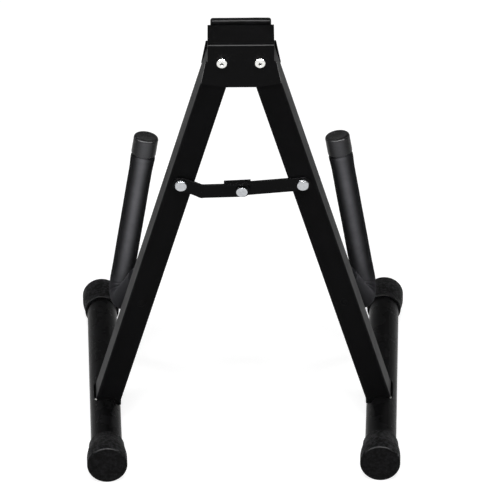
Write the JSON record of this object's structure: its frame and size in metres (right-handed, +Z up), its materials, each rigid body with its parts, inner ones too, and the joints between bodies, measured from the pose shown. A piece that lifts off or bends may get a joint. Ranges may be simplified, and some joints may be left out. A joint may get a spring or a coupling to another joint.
{
  "type": "folding guitar stand",
  "caption": "Folding A-frame floor stand for a guitar: hinged legs on tubular feet, V-shaped padded cradle arms and a padded head bracket.",
  "frame": {"origin": "on the floor, under the middle of the stand's box", "axes": "+Y towards the side where the guitar stands, +Z up, +X to the right seen from behind"},
  "size_m": [0.2758, 0.277, 0.3856],
  "materials": {
    "frame_steel": "satin black powder coat",
    "foot_steel": "satin black powder coat",
    "rod_steel": "satin black powder coat",
    "weld_steel": "black powder coat over a weld bead",
    "zinc_steel": "bright zinc plate",
    "boot_rubber": "matte moulded rubber",
    "cap_rubber": "matte moulded rubber",
    "pad_rubber": "soft matte rubber",
    "foam_sleeve": "soft closed-cell foam"
  },
  "bodies": {
    "head": {"head_bracket": "frame_steel", "head_pad": "pad_rubber", "pivot_screws": "zinc_steel", "pivot_barrels": "zinc_steel"},
    "left_leg": {"left_leg_tube": "frame_steel", "left_foot_tube": "foot_steel", "left_foot_weld": "weld_steel", "left_rear_boot": "boot_rubber", "left_front_boot": "boot_rubber", "left_arm_rod": "rod_steel", "left_arm_weld": "weld_steel", "left_arm_foam": "foam_sleeve", "left_arm_cap": "cap_rubber", "left_leg_rivet": "zinc_steel"},
    "right_leg": {"right_leg_tube": "frame_steel", "right_foot_tube": "foot_steel", "right_foot_weld": "weld_steel", "right_rear_boot": "boot_rubber", "right_front_boot": "boot_rubber", "right_arm_rod": "rod_steel", "right_arm_weld": "weld_steel", "right_arm_foam": "foam_sleeve", "right_arm_cap": "cap_rubber", "right_leg_rivet": "zinc_steel"},
    "left_link": {"left_link": "frame_steel", "middle_rivet": "zinc_steel"},
    "right_link": {"right_link": "frame_steel", "right_link_rivet": "zinc_steel"}
  },
  "joints": [
    {"name": "left_leg_fold", "type": "hinge", "parent": "head", "child": "left_leg", "pos_m": [-0.0145, -0.10098, 0.36423], "axis": [0, -0.9848, -0.1736], "range_deg": [0, 15.32]},
    {"name": "right_leg_fold", "type": "hinge", "parent": "head", "child": "right_leg", "pos_m": [0.0145, -0.10098, 0.36423], "axis": [0, 0.9848, 0.1736], "range_deg": [0, 15.32]},
    {"name": "left_link_turn", "type": "hinge", "parent": "left_leg", "child": "left_link", "pos_m": [-0.04737, -0.09289, 0.24636], "axis": [0, -0.9848, -0.1736], "range_deg": [0, 61.53]},
    {"name": "middle_turn", "type": "hinge", "parent": "left_link", "child": "right_link", "pos_m": [0, -0.09211, 0.24192], "axis": [0, 0.9848, 0.1736], "range_deg": [0, 153.69]}
  ],
  "couplings": [
    {"joint": "right_leg_fold", "follows": "left_leg_fold", "ratio": 1},
    {"joint": "left_link_turn", "follows": "left_leg_fold", "ratio": 4.0165},
    {"joint": "middle_turn", "follows": "left_leg_fold", "ratio": 10.033}
  ]
}
